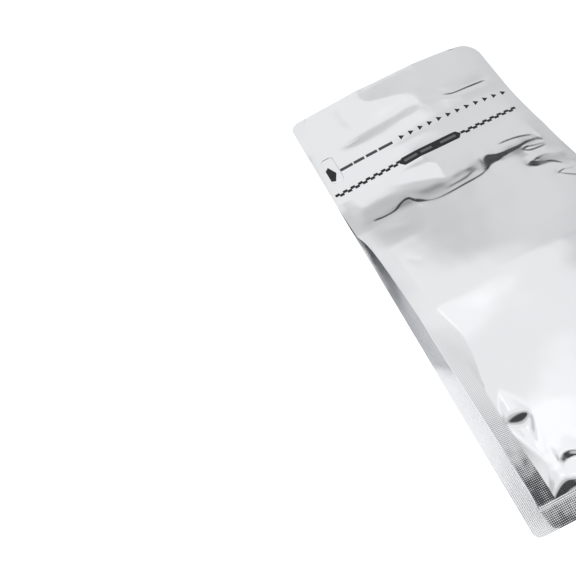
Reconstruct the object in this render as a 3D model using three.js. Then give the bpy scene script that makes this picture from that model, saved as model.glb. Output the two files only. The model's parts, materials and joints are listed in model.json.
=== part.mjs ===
// A flat bottom pouch of foil film, lying on its back with its front face up.
// Millimetres, +Z up. X runs across the bag, +Y points to the end with the zip, and the origin is
// under the middle of the bag, on the surface that it lies on.
// A place on the bag is given as x and as its run, the distance down from the zip end's edge.

import * as THREE from 'three';
import { ParametricGeometry } from 'three/addons/geometries/ParametricGeometry.js';
import * as BufferGeometryUtils from 'three/addons/utils/BufferGeometryUtils.js';

// Driving dimensions
const WIDTH = 140;
const LENGTH = 294;
const SIDE_FIN = 9; // sealed fin along each of the four long edges
const BOTTOM_FIN = 12; // sealed fin across the foot of the front and back panels
const WALL = 0.75; // one wall, with the fin's two films pressed together
const TOP_CORNER = 6;
const BOTTOM_CORNER = 4;
const GUSSET_DEPTH = 26; // how far each side gusset folds in past the fins
const OPENING_RUN = 34; // the fins come apart at their inner lines over this run
const FOOT_DEPTH = 22; // how far the bottom panel folds in past its fins
const LIP_RUN = 48; // the back panel lifts off the surface over this run below the top edge
const ZIP_RUN = 67;
const ZIP_HALF_WIDTH = 4.5;
const ZIP_RISE = 0.6;

// Height of the gap between the front and back fins along each side: [run, gap]
const LEFT_GAP = [[84, 0], [100, 0.4], [116, 2.6], [130, 5.5], [150, 10], [174, 16.2], [196, 19],
  [228, 22.7], [262, 26.5], [LENGTH, 27.1]];
const RIGHT_GAP = [[58, 0], [70, 1.6], [88, 6.2], [97, 9.4], [107, 12.8], [116, 16.4], [135, 21.5],
  [160, 25.5], [200, 26.8], [LENGTH, 27]];
const LEFT_START = LEFT_GAP[0][0];
const RIGHT_START = RIGHT_GAP[0][0];

// How far the front panel's edges draw in as the bag fills out
const PULL_START = 84;
const LEFT_PULL = { most: 3.5, over: 15 };
const RIGHT_PULL = { most: 3, over: 40 };

// How far the front panel's middle stands over its edges: [run, rise]
const CROWN = [[0, 6], [60, 6], [85, 5.6], [110, 7], [150, 9], [220, 9.5], [258, 8], [276, 3.5],
  [LENGTH - BOTTOM_FIN, 1.2], [LENGTH, 0.6]];
const CROWN_LEAN = 0.4; // the header's arch leans to the right by this share
const CROWN_CHANGE = [80, 130]; // run over which the crown stops crossing the fins
const FIN_DROOP = 1.4; // the side fins fall away from the front panel by this much

// The sharp dents where the flat header meets the filled body: places [x, run]
const DENTS = [
  { places: [[-54, 94], [-28, 91], [-21, 98], [-10, 99.5], [8, 99], [21, 97], [28, 90]],
    depth: 1.6, reach: 3 },
  { places: [[28, 90], [44, 88.5], [60, 90]], depth: 1.2, reach: 2.6 },
  { places: [[46, 106], [60, 107.5], [68, 116]], depth: 1.3, reach: 3 },
];

// Pull tab of the tear strip, die-cut from the front film
const TAB = { left: -65, right: -56.5, top: 37, bottom: 57, corner: 2.4, thickness: 0.4, gap: 0.3 };

// Steps of the mesh
const CORNER_STEPS = 5;
const PANEL_COLUMNS = 30;
const FIN_COLUMNS = 2;
const ROW_STEP = { header: 4.4, shoulder: 2.6, body: 5.2 };

const smooth = (from, to, at) => THREE.MathUtils.smoothstep(at, from, to);

// A smooth curve through stations [run, value], flat beyond its ends
function along(stations, run) {
  const last = stations.length - 1;
  if (run <= stations[0][0]) return stations[0][1];
  if (run >= stations[last][0]) return stations[last][1];
  const k = stations.findIndex(([at]) => at > run) - 1;
  const slope = (i) => {
    const before = stations[Math.max(i - 1, 0)];
    const after = stations[Math.min(i + 1, last)];
    return (after[1] - before[1]) / (after[0] - before[0]);
  };
  const [from, low] = stations[k];
  const [to, high] = stations[k + 1];
  const span = to - from;
  const t = (run - from) / span;
  const ease = t * t * (3 - 2 * t);
  const leave = slope(k) * span * t * (1 - t) ** 2;
  const arrive = slope(k + 1) * span * t * t * (t - 1);
  return low + (high - low) * ease + leave + arrive;
}

// Half the bag's width, with the rounded corners at both ends
function backHalf(run) {
  const top = Math.max(TOP_CORNER - run, 0);
  const bottom = Math.max(BOTTOM_CORNER - (LENGTH - run), 0);
  const cutTop = TOP_CORNER - Math.sqrt(TOP_CORNER ** 2 - top ** 2);
  const cutBottom = BOTTOM_CORNER - Math.sqrt(BOTTOM_CORNER ** 2 - bottom ** 2);
  return WIDTH / 2 - cutTop - cutBottom;
}

function frontHalf(run, side) {
  const pull = side < 0 ? LEFT_PULL : RIGHT_PULL;
  const past = Math.max(run - PULL_START, 0);
  return backHalf(run) - pull.most * (1 - Math.exp(-past / pull.over));
}

const gapAt = (run, side) => along(side < 0 ? LEFT_GAP : RIGHT_GAP, run);

// Distance from a place to a chain of straight stretches
function distanceTo(places, x, run) {
  const place = new THREE.Vector2(x, run);
  let nearest = Infinity;
  for (let i = 1; i < places.length; i += 1) {
    const from = new THREE.Vector2(...places[i - 1]);
    const step = new THREE.Vector2(...places[i]).sub(from);
    const t = THREE.MathUtils.clamp(place.clone().sub(from).dot(step) / step.lengthSq(), 0, 1);
    nearest = Math.min(nearest, from.addScaledVector(step, t).distanceTo(place));
  }
  return nearest;
}

// Height of the front panel's outer face
function frontHeight(x, run) {
  const side = Math.sign(x) || 1;
  const half = frontHalf(run, side);
  const lift = THREE.MathUtils.lerp(gapAt(run, -1), gapAt(run, 1), (x / half + 1) / 2);
  const body = smooth(CROWN_CHANGE[0], CROWN_CHANGE[1], run);
  const across = THREE.MathUtils.clamp(x / half, -1, 1);
  const inside = THREE.MathUtils.clamp(Math.abs(x) / (half - SIDE_FIN), 0, 1);
  const arch = (1 - across ** 2) * (1 + CROWN_LEAN * across);
  const crown = along(CROWN, run) * THREE.MathUtils.lerp(arch, (1 - inside ** 2) ** 0.8, body);
  const finShare = THREE.MathUtils.clamp((half - Math.abs(x)) / SIDE_FIN, 0, 1);
  const zipShare = 1 - smooth(ZIP_HALF_WIDTH / 2, ZIP_HALF_WIDTH, Math.abs(run - ZIP_RUN));
  let height = 2 * WALL + lift + crown + (ZIP_RISE * zipShare + FIN_DROOP * body) * finShare;
  for (const dent of DENTS) {
    height -= dent.depth * Math.exp(-((distanceTo(dent.places, x, run) / dent.reach) ** 2));
  }
  return height;
}

// Height of the back panel's outer face: on the surface, but for the lip at the top edge
function backHeight(x, run) {
  return (frontHeight(x, run) - 2 * WALL) * (1 - smooth(0, LIP_RUN, run));
}

const place = (x, run, z) => [x, LENGTH / 2 - run, z];

// Rows of the mesh, as runs, and columns, from -2 at the left edge by way of the fins' inner lines
// at -1 and 1 to 2 at the right edge
function evenly(from, to, step) {
  const count = Math.max(1, Math.round((to - from) / step));
  return Array.from({ length: count }, (_, i) => from + ((to - from) * (i + 1)) / count);
}
const cornerRuns = (radius) => Array.from({ length: CORNER_STEPS + 1 },
  (_, i) => radius * (1 - Math.cos((i * Math.PI) / 2 / CORNER_STEPS)));
const ROWS = [
  ...cornerRuns(TOP_CORNER),
  ...evenly(TOP_CORNER, LIP_RUN, ROW_STEP.header),
  ...evenly(LIP_RUN, RIGHT_START, ROW_STEP.header),
  ...evenly(RIGHT_START, LEFT_START, ROW_STEP.shoulder),
  ...evenly(LEFT_START, CROWN_CHANGE[1], ROW_STEP.shoulder),
  ...evenly(CROWN_CHANGE[1], LENGTH - BOTTOM_FIN, ROW_STEP.body),
  ...evenly(LENGTH - BOTTOM_FIN, LENGTH - BOTTOM_CORNER, ROW_STEP.body),
  ...cornerRuns(BOTTOM_CORNER).slice(0, -1).reverse().map((rise) => LENGTH - rise),
];

const FINS = Array.from({ length: FIN_COLUMNS }, (_, i) => i / FIN_COLUMNS);
const COLUMNS = [
  ...FINS.map((part) => -2 + part),
  ...Array.from({ length: PANEL_COLUMNS + 1 }, (_, i) => -1 + (2 * i) / PANEL_COLUMNS),
  ...FINS.map((part) => 2 - part).reverse(),
];

function columnX(column, half) {
  const inner = half - SIDE_FIN;
  const fin = Math.max(Math.abs(column) - 1, 0);
  return Math.sign(column) * (inner * Math.min(Math.abs(column), 1) + SIDE_FIN * fin);
}

// One patch of skin: columns and rows are lists, and at says where each crossing lies.
// It faces the way that a turn from its columns to its rows points.
function patch(columns, rows, at) {
  const pick = (list, t) => list[Math.round(t * (list.length - 1))];
  return new ParametricGeometry((u, v, target) => {
    target.set(...at(pick(columns, u), pick(rows, v)));
  }, columns.length - 1, rows.length - 1);
}

const frontPlace = (column, run) => {
  const x = columnX(column, frontHalf(run, Math.sign(column) || 1));
  return place(x, run, frontHeight(x, run));
};
const backPlace = (column, run) => {
  const x = columnX(column, backHalf(run));
  return place(x, run, backHeight(x, run));
};
const backward = (list) => [...list].reverse();

function frontSkin() {
  return [patch(COLUMNS, backward(ROWS), frontPlace)];
}

// The back panel is flat below the lip, so it has columns only near its two ends
function backSkin() {
  const lip = ROWS.filter((run) => run <= LIP_RUN);
  const flat = ROWS.filter((run) => run >= LIP_RUN);
  const ends = [COLUMNS[0], COLUMNS[COLUMNS.length - 1]];
  const half = (COLUMNS.length - 1) / 2;
  const toEnd = (column) => (COLUMNS.indexOf(column) < half ? ends[0] : ends[1]);
  const fan = (rows, wide) => patch(COLUMNS, rows, (column, run) => (
    backPlace(run === wide ? column : toEnd(column), run)));
  const inner = flat.slice(1, -1);
  return [
    patch(COLUMNS, lip, backPlace),
    fan([flat[0], flat[1]], flat[0]),
    patch(ends, inner, backPlace),
    fan(flat.slice(-2), LENGTH),
  ];
}

// The closed rim round the header, from the left side's first row over the top edge to the right's
function headerRim() {
  const levels = [0, 0.5, 1];
  const at = (column, run, level) => {
    const x = columnX(column, backHalf(run));
    return place(x, run, THREE.MathUtils.lerp(backHeight(x, run), frontHeight(x, run), level));
  };
  const left = ROWS.filter((run) => run <= LEFT_START);
  const right = ROWS.filter((run) => run <= RIGHT_START);
  return [
    patch(left, levels, (run, level) => at(-2, run, level)),
    patch(backward(COLUMNS), levels, (column, level) => at(column, 0, level)),
    patch(backward(right), levels, (run, level) => at(2, run, level)),
  ];
}

// The fold between the front and back fins runs down both sides and across the foot. Each of its
// lines lies that far in from the side and from the foot, and its fold goes from 0 at the fins'
// inner lines to 1 at the bottom of the fold.
const FOLD_LINES = [
  { side: 0, foot: 0, fold: 0 },
  { side: SIDE_FIN, foot: BOTTOM_FIN, fold: 0 },
  { side: SIDE_FIN + GUSSET_DEPTH / 2, foot: BOTTOM_FIN + FOOT_DEPTH / 2, fold: 0.5 },
  { side: SIDE_FIN + GUSSET_DEPTH, foot: BOTTOM_FIN + FOOT_DEPTH, fold: 1 },
];
const [EDGE_LINE, FIN_LINE] = FOLD_LINES;
const startOf = (side) => (side < 0 ? LEFT_START : RIGHT_START);
const rowsBeside = (side) => ROWS.filter((run) => run >= startOf(side));

// Half the bag's width at a fold line, on the skin above (layer 1) or below (layer -1) the gap.
// Only the outer edge has the rounded corners.
function foldHalf(line, layer, side, run) {
  const near = line === EDGE_LINE ? run : Math.min(run, LENGTH - BOTTOM_CORNER);
  const front = frontHalf(near, side);
  const back = backHalf(near);
  return THREE.MathUtils.lerp(layer > 0 ? front : back, (front + back) / 2, line.fold) - line.side;
}

// A place on a fold line down a side, next to a row of the outline
function besideRow(line, layer, side, row) {
  const start = startOf(side);
  const share = (row - start) / (LENGTH - start);
  const run = THREE.MathUtils.lerp(start, LENGTH - line.foot, share);
  return { x: side * foldHalf(line, layer, side, run), run };
}

// A place on a fold line across the foot, at a column
function atColumn(line, layer, column) {
  const run = LENGTH - line.foot;
  return { x: columnX(column, foldHalf(line, layer, Math.sign(column) || 1, run)), run };
}

// The front fin's underside, which lies on the back fin where the fold begins
function finUnderside({ x, run }) {
  const side = Math.sign(x) || 1;
  const inward = THREE.MathUtils.clamp((frontHalf(run, side) - Math.abs(x)) / SIDE_FIN, 0, 1);
  const opened = smooth(startOf(side), startOf(side) + OPENING_RUN, run);
  return WALL + (frontHeight(x, run) - 2 * WALL) * THREE.MathUtils.lerp(1, opened, inward);
}

// A point of the fold's skin. spot says where it is for a line and a layer.
function foldPoint(line, layer, spot) {
  const { x, run } = spot(line, layer);
  if (line.fold === 0) return place(x, run, layer > 0 ? finUnderside({ x, run }) : WALL);
  const top = finUnderside(spot(FIN_LINE, 1));
  const middle = (top + WALL) / 2;
  return place(x, run, THREE.MathUtils.lerp(layer > 0 ? top : WALL, middle, line.fold));
}

function foldSkin() {
  const skins = [];
  for (const layer of [1, -1]) {
    for (const side of [-1, 1]) {
      const lines = layer * side < 0 ? FOLD_LINES : backward(FOLD_LINES);
      skins.push(patch(lines, rowsBeside(side), (line, row) => (
        foldPoint(line, layer, (on, skin) => besideRow(on, skin, side, row)))));
    }
    const lines = layer > 0 ? FOLD_LINES : backward(FOLD_LINES);
    skins.push(patch(lines, COLUMNS, (line, column) => (
      foldPoint(line, layer, (on, skin) => atColumn(on, skin, column)))));
  }
  return skins;
}

// The thin rims of the front and back fins, past the header
function finRims() {
  const rims = [];
  for (const layer of [1, -1]) {
    const levels = layer > 0 ? ['inner', 'outer'] : ['outer', 'inner'];
    const at = (spot, level) => {
      const { x, run } = spot(EDGE_LINE, layer);
      if (level === 'inner') return foldPoint(EDGE_LINE, layer, spot);
      return place(x, run, layer > 0 ? frontHeight(x, run) : backHeight(x, run));
    };
    for (const side of [-1, 1]) {
      const rows = side < 0 ? rowsBeside(side) : backward(rowsBeside(side));
      rims.push(patch(rows, levels, (row, level) => (
        at((line, skin) => besideRow(line, skin, side, row), level))));
    }
    rims.push(patch(COLUMNS, levels, (column, level) => (
      at((line, skin) => atColumn(line, skin, column), level))));
  }
  return rims;
}

// Joins patches into one closed skin, without the faces that a fan folds to nothing
function closed(patches) {
  const joined = BufferGeometryUtils.mergeGeometries(patches.map((geometry) => {
    geometry.deleteAttribute('normal');
    geometry.deleteAttribute('uv');
    return geometry;
  }));
  const merged = BufferGeometryUtils.mergeVertices(joined, 1e-3);
  const corners = merged.index.array;
  const kept = [];
  for (let i = 0; i < corners.length; i += 3) {
    const [a, b, c] = corners.slice(i, i + 3);
    if (a !== b && b !== c && c !== a) kept.push(a, b, c);
  }
  merged.setIndex(kept);
  merged.computeVertexNormals();
  return merged;
}

function bagGeometry() {
  return closed([...frontSkin(), ...backSkin(), ...headerRim(), ...foldSkin(), ...finRims()]);
}

// A rounded plate bent to lie just over the front panel
function tabGeometry() {
  const { left, right, top, bottom, corner, thickness, gap } = TAB;
  const outline = new THREE.Shape();
  const low = LENGTH / 2 - bottom;
  const high = LENGTH / 2 - top;
  outline.moveTo(left + corner, low);
  outline.lineTo(right - corner, low);
  outline.quadraticCurveTo(right, low, right, low + corner);
  outline.lineTo(right, high - corner);
  outline.quadraticCurveTo(right, high, right - corner, high);
  outline.lineTo(left + corner, high);
  outline.quadraticCurveTo(left, high, left, high - corner);
  outline.lineTo(left, low + corner);
  outline.quadraticCurveTo(left, low, left + corner, low);
  const plate = new THREE.ExtrudeGeometry(outline, {
    depth: thickness, bevelEnabled: false, curveSegments: 4,
  });
  const spots = plate.attributes.position;
  for (let i = 0; i < spots.count; i += 1) {
    const under = frontHeight(spots.getX(i), LENGTH / 2 - spots.getY(i));
    spots.setZ(i, spots.getZ(i) + under + gap);
  }
  plate.computeVertexNormals();
  return plate;
}

const foil = new THREE.MeshStandardMaterial({ color: 0xd4d5d8, metalness: 1, roughness: 0.2 });
const tabFilm = new THREE.MeshStandardMaterial({ color: 0xdadbdd, metalness: 1, roughness: 0.3 });

const pouch = new THREE.Group();

const bag = new THREE.Mesh(bagGeometry(), foil);
bag.name = 'bag';
pouch.add(bag);

const pullTab = new THREE.Mesh(tabGeometry(), tabFilm);
pullTab.name = 'pull_tab';
pouch.add(pullTab);

export default pouch;
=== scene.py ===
# %% [markdown]
# # A flat bottom pouch of foil film
# The object is a pouch, taken to be empty, that lies on its back. Such a pouch is made of five pieces of
# thin metallised film: a front, a back, two folded side gussets and a folded bottom. Their long edges
# are sealed together in pairs, and each seal is a narrow embossed fin. This notebook makes the same
# sheets, each at its own place round the CAD model, and gives them a mirror-like foil that needs soft
# light and a few dark spots to reflect.

# %% Load the CAD model as the frame
import json
import math

import bmesh
import bpy
from mathutils import Matrix, Vector, noise

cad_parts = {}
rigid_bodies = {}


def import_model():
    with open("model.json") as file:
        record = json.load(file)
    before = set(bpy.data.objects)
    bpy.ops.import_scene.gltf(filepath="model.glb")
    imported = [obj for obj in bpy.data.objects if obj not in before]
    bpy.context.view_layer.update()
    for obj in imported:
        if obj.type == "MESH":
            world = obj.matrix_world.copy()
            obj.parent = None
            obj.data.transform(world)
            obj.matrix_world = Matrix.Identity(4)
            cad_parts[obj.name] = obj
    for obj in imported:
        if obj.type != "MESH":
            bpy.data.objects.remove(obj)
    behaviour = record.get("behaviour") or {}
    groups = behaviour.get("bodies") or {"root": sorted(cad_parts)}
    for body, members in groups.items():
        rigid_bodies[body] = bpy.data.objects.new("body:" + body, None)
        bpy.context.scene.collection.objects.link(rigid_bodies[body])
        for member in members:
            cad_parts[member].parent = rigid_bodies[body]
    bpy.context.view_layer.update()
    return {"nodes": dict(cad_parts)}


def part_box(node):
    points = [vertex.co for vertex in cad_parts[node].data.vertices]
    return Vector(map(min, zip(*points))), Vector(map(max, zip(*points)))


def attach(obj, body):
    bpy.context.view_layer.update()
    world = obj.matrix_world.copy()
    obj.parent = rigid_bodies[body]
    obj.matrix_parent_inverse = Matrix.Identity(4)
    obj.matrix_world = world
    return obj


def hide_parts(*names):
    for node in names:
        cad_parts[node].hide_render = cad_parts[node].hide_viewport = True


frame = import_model()
bag_low, bag_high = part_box("bag")
print("CAD nodes:", sorted(frame["nodes"]))

# %% [markdown]
# ## The sizes of the bag
# Film is easiest to think about in millimetres. A place on the bag is its distance from the middle line,
# x, and its run, the distance down from the edge at the zip end. The width and the length come from the
# CAD node, so that the sheets fit it. The rest are estimates from the photo, or guesses where it shows
# nothing, such as the folds' depths and the film's thickness.

# %% Sizes in millimetres
MM = 0.001
WIDTH = (bag_high.x - bag_low.x) / MM
LENGTH = (bag_high.y - bag_low.y) / MM
FILM = 0.15  # one film
SEAL = 2 * FILM  # two films, sealed together
STACK = 2 * SEAL  # the front fin lying on the back fin
SIDE_FIN = 9
BOTTOM_FIN = 12
LEFT_CORNER = 6
RIGHT_CORNER = 12
BOTTOM_CORNER = 4
GUSSET_DEPTH = 26  # from a side fin's inner line in to the gusset's fold
FOOT_DEPTH = 22  # from the foot seal in to the bottom's fold
HEADER_RUN = 48  # the curl of the top edge ends here, and the gussets start
ZIP_RUN = 67
ZIP_HALF_WIDTH = 6
ZIP_RISE = 0.15
FOOT_LINE = LENGTH - BOTTOM_FIN
print(f"bag {WIDTH:.1f} by {LENGTH:.1f} mm")

# %% [markdown]
# ## Curves through stations
# The bag's shape changes along its length. A few stations, each a distance and a value, say how, and
# a smooth curve joins them. The same helper later draws the creases, which change across the bag.


# %% A smooth curve through stations
def along(stations, at):
    """The value at a distance, on a smooth curve through stations, level beyond its ends."""
    if at <= stations[0][0]:
        return stations[0][1]
    if at >= stations[-1][0]:
        return stations[-1][1]
    after = next(i for i, station in enumerate(stations) if station[0] > at)

    def slope(i):
        before = stations[max(i - 1, 0)]
        behind = stations[min(i + 1, len(stations) - 1)]
        return (behind[1] - before[1]) / (behind[0] - before[0])

    start, low = stations[after - 1]
    end, high = stations[after]
    span = end - start
    t = (at - start) / span
    ease = t * t * (3 - 2 * t)
    leave = slope(after - 1) * span * t * (1 - t) ** 2
    arrive = slope(after) * span * t * t * (t - 1)
    return low + (high - low) * ease + leave + arrive


def smooth(start, end, at):
    """0 before start, 1 after end, and a soft step between."""
    t = min(max((at - start) / (end - start), 0), 1)
    return t * t * (3 - 2 * t)


def mix(a, b, share):
    return a + (b - a) * share


# %% [markdown]
# ## The outline and the height of the bag
# The header, down to the zip, is nearly flat. Below it the gussets hold the front and back fins apart,
# more and more towards the foot, and the front film bulges a little between its fins. A cloth
# simulation could blow such a bag up, but it would hardly settle in the photo's shape. So functions
# give the edge and the height of the films at any place, and every piece is made from them.

# %% How far each front fin stands over its back fin, and the front's edges draw in
LEFT_GAP = [(72, 0), (80, 1.1), (90, 3.1), (100, 5.2), (112, 7.5), (125, 9.9), (140, 12.9), (155, 16),
            (168, 18.2), (180, 19.7), (196, 20.9), (212, 21.9), (228, 23), (262, 26.5), (LENGTH, 27.1)]
RIGHT_GAP = [(46, 0), (60, 1.3), (76, 3.8), (92, 7.4), (107, 11.2), (120, 14.8), (135, 18.7), (155, 22.6),
             (175, 25), (200, 26.8), (LENGTH, 27)]
LEFT_PULL = (101, 3.6, 9)  # from which run, how far in, and over what run
RIGHT_PULL = (84, 3, 40)
print(f"the fins stand {LEFT_GAP[-1][1]} and {RIGHT_GAP[-1][1]} mm apart at the foot")

# %% How high the front film is in the middle, and how its inner lines and the back film lie
CROWN = [(0, 6), (60, 6), (85, 5.6), (110, 7), (150, 8.6), (168, 8.8), (190, 9.9), (220, 9.8), (258, 8),
         (276, 3.5), (FOOT_LINE, 1.2), (LENGTH, 0.6)]
CROWN_LEAN = 0.4  # the header's crown leans this much to the right
CROWN_CHANGE = (110, 190)  # here it stops rising from the edges, and rises from the fins' inner lines
FIN_CURL = [(168, 0), (182, 1.4), (216, 1.9), (FOOT_LINE - 30, 1.9), (FOOT_LINE, 0)]
# the left crease wanders in from its fin's inner line, and back
LEFT_CREASE = [(156, SIDE_FIN), (175, 12.6), (188, 15.8), (200, 15.6), (214, 12), (228, SIDE_FIN),
               (240, SIDE_FIN), (250, 11.5), (257, 13.2), (262, 14.2), (268, 14.8), (279, SIDE_FIN)]
CREASE_CHANGE = 0.5  # the left side's crease turns into the right side's over this share of each half
# the back fins' outer edges and inner lines stand a little off the floor
BACK_OUTER = [(112, 0), (136, 0.3), (150, 0.7), (170, 0.7), (191, 0.8), (198, 0)]
BACK_INNER = [(88, 0), (97, 1), (103, 1.2), (110, 0.6), (118, 0), (186, 0), (206, 1.6),
              (FOOT_LINE - 30, 2), (FOOT_LINE, 1)]
BACK_REACH = 16  # the back film comes down again over this distance
print("the front is highest, over its fins, at run", max(CROWN, key=lambda station: station[1])[0])


# %% Half the width of the films
def back_half(run, side):
    """Half the bag's width, with rounded corners at both ends."""
    corner = LEFT_CORNER if side < 0 else RIGHT_CORNER
    top = max(corner - run, 0)
    bottom = max(BOTTOM_CORNER - (LENGTH - run), 0)
    cut_top = corner - math.sqrt(corner ** 2 - top ** 2)
    cut_bottom = BOTTOM_CORNER - math.sqrt(BOTTOM_CORNER ** 2 - bottom ** 2)
    return WIDTH / 2 - cut_top - cut_bottom


def front_half(run, side):
    """The same for the front film, whose edges draw in where the bag is full."""
    start, most, over = LEFT_PULL if side < 0 else RIGHT_PULL
    return back_half(run, side) - most * (1 - math.exp(-max(run - start, 0) / over))


print(f"the front is {front_half(FOOT_LINE, -1) + front_half(FOOT_LINE, 1):.1f} mm wide at the foot")


# %% Height of the smooth front film
def plain_front(x, run):
    """Height of the front film's outer face, without its creases."""
    half = front_half(max(run, RIGHT_CORNER), -1 if x < 0 else 1)  # the corners are cut, not bent down
    lift = mix(along(LEFT_GAP, run), along(RIGHT_GAP, run), (x / half + 1) / 2)
    across = min(max(x / half, -1), 1)
    arch = (1 - across ** 2) * (1 + CROWN_LEAN * across)
    crease = mix(along(LEFT_CREASE, run), SIDE_FIN, smooth(-CREASE_CHANGE, CREASE_CHANGE, across))
    inside = min(abs(x) / (half - crease), 1)
    crown = along(CROWN, run) * mix(arch, 1 - inside ** 2, smooth(*CROWN_CHANGE, run))
    fin = min(max(half - abs(x), 0), crease) / SIDE_FIN
    ridge = 1 - smooth(0, ZIP_HALF_WIDTH, abs(run - ZIP_RUN))
    return STACK + lift + crown + (ZIP_RISE * ridge - along(FIN_CURL, run)) * fin


print(f"smooth front film at the zip: {plain_front(0, ZIP_RUN):.1f} mm")

# %% [markdown]
# ## Creases
# A foil film shows every small slope, so its creases matter more than anything else. A bump map would
# draw them too, but it looks painted on as soon as the view changes, so they are real slopes here. Where
# the header turns into the body the film climbs along lines: steeply over a short way, "near", on both
# sides of a line, and then it falls again so gently over a long way, "far", that the fall doesn't show.
# The line, the slope and "near" all change across the bag, and are given as stations in x.

# %% Rises between the header and the body
RISES = [
    # broad: the header turns into the body, and the film under the left fin's end follows
    {"line": [(-60, 91), (-44, 91), (-28, 94.5), (-14, 98.5), (10, 98.6), (20, 96.3), (58, 96)],
     "slope": [(-66, 0), (-56, 0.11), (-34, 0.12), (-22, 0.08), (12, 0.08), (25, 0.05), (36, 0.02),
               (52, 0.02), (60, 0)],
     "near": [(-50, 8.5), (-28, 8.5), (-16, 7.5), (0, 7), (58, 8)], "far": 28},
    # the film straightens again below it at the left, and is flat over it in the middle
    {"line": [(-62, 107), (-40, 107)], "slope": [(-66, 0), (-58, 0.07), (-44, 0.07), (-24, 0.02), (12, 0)],
     "near": [(-62, 14), (-40, 14)], "far": 60},
    {"line": [(-30, 77), (-20, 80), (-12, 83), (-5, 86)],
     "slope": [(-34, 0), (-24, -0.1), (-12, -0.15), (-4, -0.15), (12, 0)],
     "near": [(-30, 4.5), (-20, 6), (-8, 8)], "far": 30},
    {"line": [(-24, 60), (10, 60)], "slope": [(-30, 0), (-16, -0.07), (2, -0.06), (14, 0)],
     "near": [(-24, 7), (10, 7)], "far": 20},
    # the thin crest
    {"line": [(-57, 96.9), (-55, 96.4), (-51.1, 97.2), (-45.1, 97.7), (-41.1, 97), (-36.9, 94.4),
              (-32.8, 93.2), (-30.3, 94.2), (-29, 97.6), (-25.1, 101.7), (-21, 104.2), (-17, 105.4),
              (-10.9, 105.8), (-0.9, 105.4), (7.2, 105.2), (13.3, 104.5), (17.2, 102.9), (21.2, 99.5)],
     "slope": [(-57, 0), (-54, 0.1), (-42, 0.1), (-32, 0.09), (-29, 0.15), (-22, 0.13), (-12, 0.15),
               (8, 0.14), (15, 0.13), (18, 0.1), (20.5, 0)],
     "near": [(-54, 1), (-31, 1.3), (-28.5, 2.3), (-21, 1.3), (14, 1.1)], "far": 9},
    # the dark spot and the band to its right
    {"line": [(17.3, 102.3), (19.5, 98.9), (21.4, 97.2), (24.5, 96), (27.5, 96.6), (31.6, 96.9),
              (37.7, 96.7), (43.8, 96.2), (50, 95.2), (55.1, 95.4), (58.3, 96), (62.3, 97.7)],
     "slope": [(15, 0), (18, 0.13), (21.4, 0.13), (25, 0.13), (31.6, 0.13), (37.7, 0.13), (43.8, 0.12),
               (50, 0.11), (58.3, 0.1), (61, 0)],
     "near": [(17.3, 1.8), (19, 4), (22.5, 5.4), (25, 5.6), (28, 4), (30.5, 2.7), (38, 1.9),
              (44, 1.5), (50, 1.2), (55, 1.3), (58, 2.2)], "far": 15},
]
print("rises between header and body:", len(RISES))

# %% Thin rises round the band: an arc at its left, a loop over it and a thin ring under it
RISES += [
    {"line": [(-8.8, 101.6), (-4.8, 101.3), (3.2, 100.9), (8.3, 99.8)],
     "slope": [(-10, 0), (-5, 0.05), (3, 0.06), (8, 0.05), (10, 0)],
     "near": [(-8, 1.1), (9, 1.1)], "far": 5},
    {"line": [(6, 97.5), (13, 96.5)], "slope": [(6, 0), (9, 0.045), (10.6, 0.05), (13.4, 0)],
     "near": [(6, 3.2), (13, 3.6)], "far": 9},
    {"line": [(33.8, 87.7), (39.8, 87.5), (45.8, 88), (49.9, 88.7), (54, 90), (57, 91.3), (59.1, 92.9)],
     "slope": [(33, 0), (38, 0.1), (48, 0.09), (56, 0.07), (59, 0)],
     "near": [(34, 1.1), (59, 1.1)], "far": 6},
    {"line": [(43.6, 99.7), (47.8, 99.2), (49.9, 99.9), (54.1, 100.7), (58.2, 101.3)],
     "slope": [(43.5, 0), (45.3, 0.12), (56, 0.1), (60, 0)], "near": [(44, 0.9), (58, 0.9)], "far": 5},
    {"line": [(43.7, 100.5), (46.3, 102.5), (48.9, 103.1), (53, 103.2), (59.3, 102.9)],
     "slope": [(43.5, 0), (45.3, 0.16), (56, 0.14), (60, 0)], "near": [(44, 1), (58, 1)], "far": 6},
]
print("with the thin ones:", len(RISES))

# %% Rises at the right edge: a thick crease, a line over it and a small crease under it
RISES += [
    {"line": [(37.4, 114.4), (42.7, 115), (46.9, 116.4), (50.1, 117), (52.2, 118.2), (54.2, 120.4),
              (57.3, 123.9), (61.1, 126.6)],
     "slope": [(36.5, 0), (38.5, 0.08), (41, 0.15), (46, 0.1), (52, 0.08), (57, 0.05), (62, 0)],
     "near": [(38, 2), (41, 3.4), (44, 3), (46, 2.3), (50, 1.8), (53, 1.7), (57, 1.2)], "far": 9},
    {"line": [(40, 113.8), (50, 114.6), (56, 117.5), (62, 119)],
     "slope": [(39, 0), (43, 0.05), (48, 0.08), (56, 0.09), (60, 0.07), (66, 0)],
     "near": [(40, 4), (50, 5), (62, 7)], "far": 14},
    {"line": [(39.6, 112.1), (44.7, 111.3), (48.6, 110.6), (50.6, 110.3), (53.8, 110.9), (57, 112.3),
              (61, 113.1)],
     "slope": [(38, 0), (41.5, 0.1), (48, 0.08), (55, 0.06), (60, 0)], "near": [(39, 1), (60, 1)],
     "far": 6},
    {"line": [(49, 127.3), (53.1, 126.7), (57.2, 127.7), (61.1, 126.9)],
     "slope": [(47.5, 0), (49.5, 0.2), (59, 0.15), (62, 0)], "near": [(48, 1), (60, 1)], "far": 5},
    {"line": [(49, 128.2), (51.6, 130.3), (55.2, 132.8), (61, 136.2)],
     "slope": [(47.5, 0), (49.5, 0.2), (59, 0.18), (62, 0)], "near": [(48, 1), (60, 1)], "far": 6},
]
print("with those at the right edge:", len(RISES))

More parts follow.
